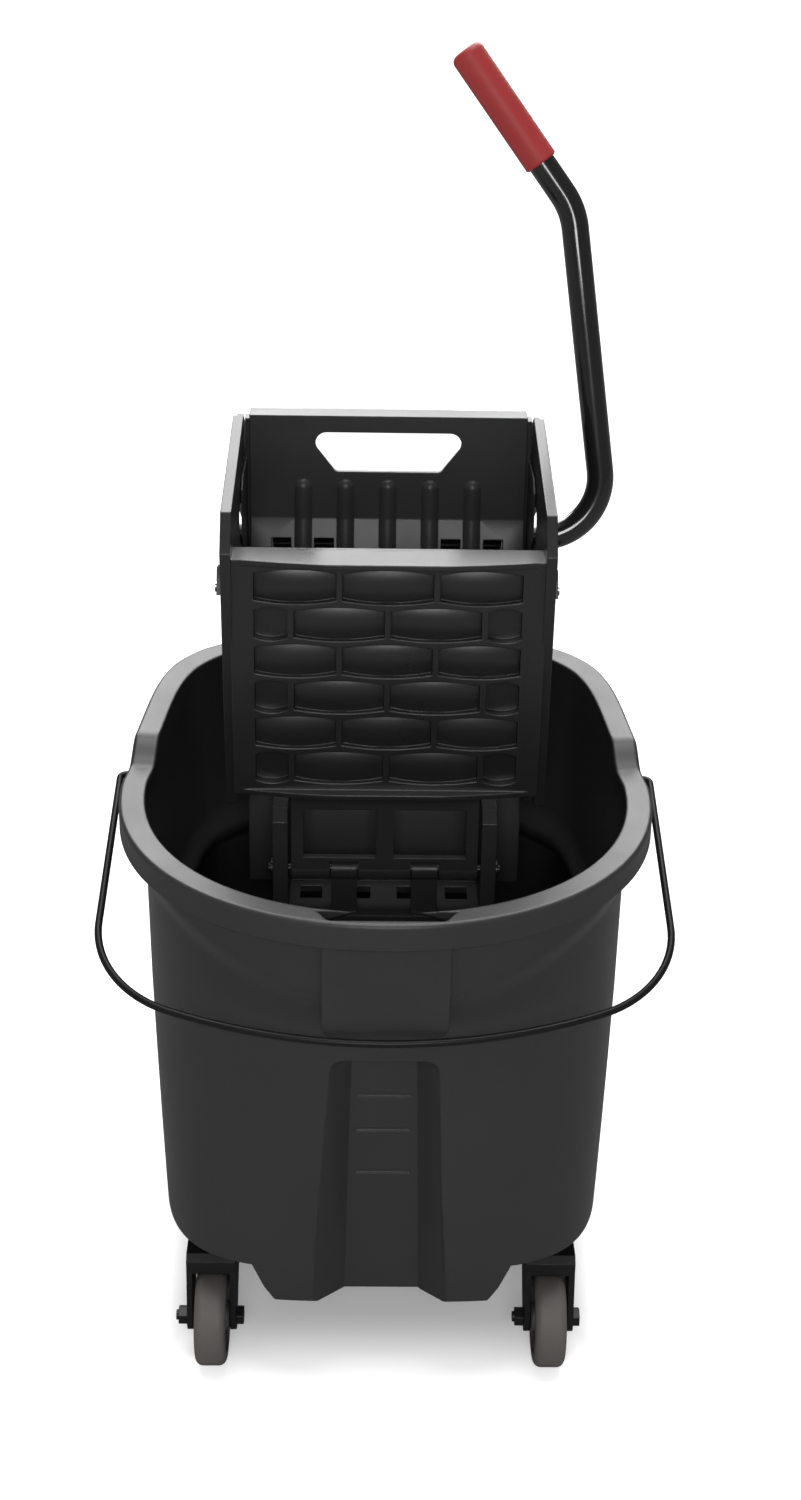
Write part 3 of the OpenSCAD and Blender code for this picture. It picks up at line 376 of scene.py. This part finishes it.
def finish(name, dark, light, rough, radius, grain_scale, grain_depth,
           metallic=0.0, coat=0.0, edge=None, shine=0.5):
    """A surface whose colour and gloss wander between two values, with grain and softened edges."""
    material = bpy.data.materials.new(name)
    material.use_nodes = True
    tree = material.node_tree
    add, link = tree.nodes.new, tree.links.new
    shader = tree.nodes["Principled BSDF"]
    shader.inputs["Metallic"].default_value = metallic
    shader.inputs["Coat Weight"].default_value = coat
    shader.inputs["Specular IOR Level"].default_value = shine
    skin, edges = add("ShaderNodeGroup"), add("ShaderNodeGroup")
    skin.node_tree = mould_skin_group
    edges.node_tree = soft_edges_group
    skin.inputs["Grain Scale"].default_value = grain_scale
    edges.inputs["Radius"].default_value = radius
    tone, edge_tint = add("ShaderNodeMix"), add("ShaderNodeMix")
    gloss, relief = add("ShaderNodeMapRange"), add("ShaderNodeBump")
    tone.data_type = edge_tint.data_type = "RGBA"
    tone.inputs["A"].default_value = (*dark, 1)
    tone.inputs["B"].default_value = (*light, 1)
    # At the edges the colour turns to the edge colour, which on the press skin is a painted highlight.
    edge_tint.inputs["B"].default_value = (*(edge or light), 1)
    gloss.inputs["From Min"].default_value, gloss.inputs["From Max"].default_value = 0.3, 0.7
    gloss.inputs["To Min"].default_value, gloss.inputs["To Max"].default_value = rough
    relief.inputs["Strength"].default_value = 0.35
    relief.inputs["Distance"].default_value = grain_depth
    link(skin.outputs["Patches"], tone.inputs["Factor"])
    link(tone.outputs["Result"], edge_tint.inputs["A"])
    link(edges.outputs["Edge"], edge_tint.inputs["Factor"])
    link(edge_tint.outputs["Result"], shader.inputs["Base Color"])
    link(skin.outputs["Patches"], gloss.inputs["Value"])
    link(gloss.outputs["Result"], shader.inputs["Roughness"])
    link(skin.outputs["Grain"], relief.inputs["Height"])
    link(edges.outputs["Normal"], relief.inputs["Normal"])
    link(relief.outputs["Normal"], shader.inputs["Normal"])
    return material


def coat(material, *pieces):
    """Puts one material on whole pieces; a name stands for a node of the frame."""
    for piece in pieces:
        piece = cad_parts[piece] if isinstance(piece, str) else piece
        if piece.material_slots:
            for slot in piece.material_slots:
                slot.material = material
        else:
            piece.data.materials.append(material)


coat(finish("tub_skin", (0.020, 0.020, 0.0205), (0.026, 0.026, 0.0265), (0.35, 0.43),
            0.0018, 1600, 0.00012, shine=0.30), tub)
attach(tub, "bucket")
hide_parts("bucket")

# Bail: a bent steel wire with a thin glossy black coating.
# Its ends pass through the skirt of the rim and are headed over on the inside.
coat(finish("wire_coat", (0.006, 0.006, 0.006), (0.010, 0.010, 0.010), (0.24, 0.34),
            0.0006, 900, 0.00005, shine=0.12), "bail")

# Caster stems: turned steel, pressed into the sockets of the tub.
# The cup above each fork is dull, brownish zinc.
coat(finish("cup_zinc", (0.040, 0.036, 0.032), (0.075, 0.067, 0.060), (0.42, 0.56),
            0.0010, 700, 0.0001, metallic=0.5), "caster_stems")

# Caster forks: a horn and two legs, welded up and coated black.
# Each carries its wheel on a black steel bolt with a hex nut.
corners = ("fl", "fr", "rl", "rr")
coat(finish("fork_coat", (0.005, 0.005, 0.005), (0.009, 0.009, 0.009), (0.36, 0.48),
            0.0012, 800, 0.0001, shine=0.25), *["fork_" + c for c in corners])
coat(finish("black_bolt", (0.010, 0.010, 0.011), (0.022, 0.021, 0.020), (0.30, 0.45),
            0.0008, 900, 0.0001, metallic=0.6, edge=(0.05, 0.05, 0.05)),
     *[p + c for p in ("axle_", "nut_") for c in corners])

# Wheels: a moulded grey core with a long hub.
# A softer grey-brown tread is moulded round it.
coat(finish("wheel_core", (0.045, 0.043, 0.042), (0.065, 0.062, 0.060), (0.45, 0.55), 0.0008, 900, 0.0002),
     *["wheel_" + c for c in corners])
coat(finish("wheel_tread", (0.068, 0.061, 0.057), (0.092, 0.083, 0.077), (0.55, 0.70), 0.0010, 900, 0.0002),
     *["tyre_" + c for c in corners])

# Wringer frame: the fixed moulding, a fluted back panel with hook ribs that hang on the rear rim.
# It carries the press hinge between two posts, and drains through its base.
# Thin wings beside the panel close the view past the cheeks, with a hole for the cross shaft: a sheet put
# where the gap shows only shade, to stand in for it.
wringer_nodes = ("wringer_frame", "panel_body", "panel_sides", "panel_rail")
lap = 0.00003


def copied(node, drop):
    """A welded copy of a node at its place; its foot is lowered a little, to lap over the node below."""
    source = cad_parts[node]
    bm = bmesh.new()
    bm.from_mesh(source.data)
    bm.transform(source.matrix_world)
    bmesh.ops.remove_doubles(bm, verts=bm.verts, dist=1e-6)
    foot = min(v.co.z for v in bm.verts)
    for v in bm.verts:
        if v.co.z < foot + lap / 2:
            v.co.z -= drop
    piece = as_piece(node + "_copy", bm)
    if "custom_normal" in piece.data.attributes:
        piece.data.attributes.remove(piece.data.attributes["custom_normal"])
    return piece


moulding = copied(wringer_nodes[0], 0)
moulding.name = "wringer_moulding"
for node in wringer_nodes[1:]:
    merged(moulding, copied(node, lap), "UNION")
panel_half, panel_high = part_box("panel_rail")[1].x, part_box("panel_rail")[1].z
panel_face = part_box("panel_rail")[0].y
shaft_low, shaft_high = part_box("cross_shaft")
shaft_y, shaft_z = (shaft_low.y + shaft_high.y) / 2, (shaft_low.z + shaft_high.z) / 2
wing_foot, wing_head = shaft_z - 0.020, shaft_z + 0.069
wing_front, wing_back = panel_face - 0.055, panel_face + 0.035
filler_front, filler_head, shaft_hole = panel_face + 0.005, panel_high - 0.004, 0.0086
guard = [(wing_front, shaft_z + 0.020), (wing_front, wing_head - 0.009), (wing_front + 0.012, wing_head),
         (wing_back, wing_head), (wing_back, wing_foot), (panel_face + 0.010, wing_foot)]
filler = [(filler_front, wing_foot), (filler_front, filler_head), (filler_front + 0.015, filler_head),
          (wing_back, wing_head), (wing_back, wing_foot)]
for side in (-1, 1):
    for outline, inner, outer in ((filler, -0.001, 0.0039), (guard, 0.0026, 0.0040)):
        bm = bmesh.new()
        along_x(bm, outline, side * (panel_half + inner), side * (panel_half + outer))
        merged(moulding, as_piece("wing", bm), "UNION")
bm = bmesh.new()
for side in (-1, 1):
    peg(bm, shaft_hole, 0.010, Matrix.Translation((side * (panel_half + 0.003), shaft_y, shaft_z)) @ lying)
merged(moulding, as_piece("shaft_room", bm), "DIFFERENCE")
moulding.data.shade_smooth()
moulding.data.set_sharp_from_angle(angle=crease)
wringer_skin = finish("wringer_skin", (0.022, 0.022, 0.0225), (0.029, 0.029, 0.0295), (0.30, 0.38),
                      0.0014, 1600, 0.00012, shine=0.25)
coat(wringer_skin, moulding)
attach(moulding, "wringer")
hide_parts(*wringer_nodes)

# Hinge pin and bushes: the press turns on a black steel pin, held by spring clips.
# Flanged bushes of pale acetal carry the cross shaft.
pin_steel = finish("pin_steel", (0.012, 0.012, 0.012), (0.024, 0.023, 0.022), (0.30, 0.42),
                   0.0005, 900, 0.00005, metallic=0.6)
coat(pin_steel, "hinge_pin", "pin_clips")
coat(finish("bush_acetal", (0.60, 0.58, 0.51), (0.68, 0.66, 0.59), (0.30, 0.40),
            0.0005, 900, 0.00005), "shaft_bushes")

# Press: the moving moulding, a plate of bowed brick pockets with two cheeks.
# It is made of the same plastic as the frame, with a glossier skin; its colour is painted darker than the
# frame's as painted shade, and its lighter edge colour is a painted highlight.
# A drained wall closes it behind, and a windowed leg, held by zinc screws, hangs it on the hinge pin.
coat(finish("press_skin", (0.012, 0.012, 0.0125), (0.017, 0.017, 0.0175), (0.27, 0.34),
            0.0016, 1600, 0.00008, edge=(0.024, 0.024, 0.025), shine=0.4), "press", "press_face")
coat(wringer_skin, "press_frame")
bright_zinc = finish("bright_zinc", (0.50, 0.50, 0.51), (0.62, 0.62, 0.63), (0.28, 0.40),
                     0.0004, 1200, 0.00005, metallic=1.0)
coat(bright_zinc, "press_screws")

# Press drive: black nylon arc racks are riveted to the cheeks.
# Two cast sectors on one steel cross shaft run on them.
coat(finish("rack_nylon", (0.022, 0.022, 0.023), (0.032, 0.032, 0.033), (0.38, 0.48), 0.0006, 1400, 0.0001),
     "rack_left", "rack_right")
coat(bright_zinc, "rack_rivets")
coat(finish("sector_iron", (0.020, 0.020, 0.021), (0.042, 0.041, 0.040), (0.48, 0.60),
            0.0008, 500, 0.0003, metallic=0.5), "pinion_left", "pinion_right")
coat(pin_steel, "cross_shaft")

# Lever: a bent steel tube in gloss black paint, welded to the right sector.
# Its grip is a dipped sleeve of dull red vinyl with a domed end.
coat(finish("lever_paint", (0.006, 0.006, 0.006), (0.010, 0.010, 0.010), (0.14, 0.22),
            0.0006, 700, 0.00004, coat=0.5), "lever_tube")
coat(finish("grip_vinyl", (0.26, 0.018, 0.019), (0.31, 0.023, 0.024), (0.46, 0.56),
            0.0012, 1400, 0.0002, shine=0.35), "grip")

# Floor: a wide white sheet that catches the shadow.
# For the camera it glows to plain white away from the object and glows less near and under it, a painted
# shadow laid over the real one; in reflections it is dark.
painted_shadow_side, painted_shadow_front, painted_shadow_glow, white_glow = (0.145, 0.190), (-0.115, -0.205), 0.13, 0.58
bm = bmesh.new()
bmesh.ops.create_grid(bm, x_segments=1, y_segments=1, size=40)
floor = as_piece("floor", bm)
paper = bpy.data.materials.new("paper")
paper.use_nodes = True
tree = paper.node_tree
shader = tree.nodes["Principled BSDF"]
shader.inputs["Roughness"].default_value = 0.9
shader.inputs["Specular IOR Level"].default_value = 0.1
shader.inputs["Emission Color"].default_value = (1, 1, 1, 1)
seen, white = tree.nodes.new("ShaderNodeLightPath"), tree.nodes.new("ShaderNodeMix")
white.data_type = "RGBA"
white.inputs["A"].default_value = (0.8, 0.8, 0.8, 1)
white.inputs["B"].default_value = (0.2, 0.2, 0.2, 1)
tree.links.new(seen.outputs["Is Glossy Ray"], white.inputs["Factor"])
tree.links.new(white.outputs["Result"], shader.inputs["Base Color"])
place, split = tree.nodes.new("ShaderNodeTexCoord"), tree.nodes.new("ShaderNodeSeparateXYZ")
sideways = tree.nodes.new("ShaderNodeMath")
sideways.operation = "ABSOLUTE"
tree.links.new(place.outputs["Object"], split.inputs["Vector"])
tree.links.new(split.outputs["X"], sideways.inputs[0])
away, fade, glow = (tree.nodes.new("ShaderNode" + kind) for kind in ("Math", "MapRange", "Math"))
away.operation, glow.operation = "MAXIMUM", "MULTIPLY"
ways = ((sideways.outputs["Value"], painted_shadow_side), (split.outputs["Y"], painted_shadow_front))
for i, (way, (near, far)) in enumerate(ways):
    ramp = tree.nodes.new("ShaderNodeMapRange")
    ramp.interpolation_type = "SMOOTHSTEP"
    ramp.inputs["From Min"].default_value, ramp.inputs["From Max"].default_value = near, far
    tree.links.new(way, ramp.inputs["Value"])
    tree.links.new(ramp.outputs["Result"], away.inputs[i])
# The glow drops near the object: this is painted shadow, on top of the real shadow.
fade.inputs["To Min"].default_value, fade.inputs["To Max"].default_value = painted_shadow_glow, white_glow
tree.links.new(away.outputs["Value"], fade.inputs["Value"])
tree.links.new(seen.outputs["Is Camera Ray"], glow.inputs[0])
tree.links.new(fade.outputs["Result"], glow.inputs[1])
tree.links.new(glow.outputs["Value"], shader.inputs["Emission Strength"])
coat(paper, floor)

# Light: a white room, dimmer in reflections, and broad soft light from straight above.
# A weak box stands in front, and a large one behind makes the glare on rims and plate.
room_light, room_in_mirror, room_seen = 0.45, 0.15, 1.0
world = bpy.data.worlds.new("studio")
bpy.context.scene.world = world
world.use_nodes = True
tree = world.node_tree
room = tree.nodes["Background"]
room.inputs["Color"].default_value = (1, 1, 1, 1)
rays = tree.nodes.new("ShaderNodeLightPath")
mirrored, shown = tree.nodes.new("ShaderNodeMath"), tree.nodes.new("ShaderNodeMath")
mirrored.operation = shown.operation = "MULTIPLY_ADD"
mirrored.inputs[1].default_value, mirrored.inputs[2].default_value = room_in_mirror - room_light, room_light
shown.inputs[1].default_value = room_seen - room_light
tree.links.new(rays.outputs["Is Glossy Ray"], mirrored.inputs[0])
tree.links.new(rays.outputs["Is Camera Ray"], shown.inputs[0])
tree.links.new(mirrored.outputs["Value"], shown.inputs[2])
tree.links.new(shown.outputs["Value"], room.inputs["Strength"])


def soft_box(name, place, aim, size, watts):
    """A square lamp that points at a place on the object."""
    lamp = bpy.data.lights.new(name, "AREA")
    lamp.size = size
    lamp.energy = watts
    stand = bpy.data.objects.new(name, lamp)
    stand.location = place
    stand.rotation_euler = (Vector(aim) - Vector(place)).to_track_quat("-Z", "Y").to_euler()
    bpy.context.scene.collection.objects.link(stand)
    return stand


sun = bpy.data.lights.new("overhead", "SUN")
sun.energy, sun.angle = 2.4, radians(34)
bpy.context.scene.collection.objects.link(bpy.data.objects.new("overhead", sun))
soft_box("front", (0, -2.4, 1.5), (0, 0, 0.4), 0.8, 26)
soft_box("behind", (0.1, 2.6, 2.7), (0, 0, 0.45), 3.3, 225).visible_diffuse = False

# Camera: where the photograph was taken, a little above the grip and looking down.
# Its place and tilt were fitted to the width and the heights of the rim and to the wheels.
eye, pan, dip, roll = (-0.0125, -1.4234, 1.0737), radians(-0.956), radians(90 - 23.77), radians(0.957)
view = bpy.data.cameras.new("camera")
view.sensor_fit = "VERTICAL"
view.sensor_height = 36
view.lens = 48
camera = bpy.data.objects.new("camera", view)
camera.matrix_world = (Matrix.Translation(eye) @ Matrix.Rotation(pan, 4, "Z")
                       @ Matrix.Rotation(dip, 4, "X") @ Matrix.Rotation(roll, 4, "Z"))
bpy.context.scene.collection.objects.link(camera)
bpy.context.scene.camera = camera
bpy.context.scene.view_settings.view_transform = "Standard"
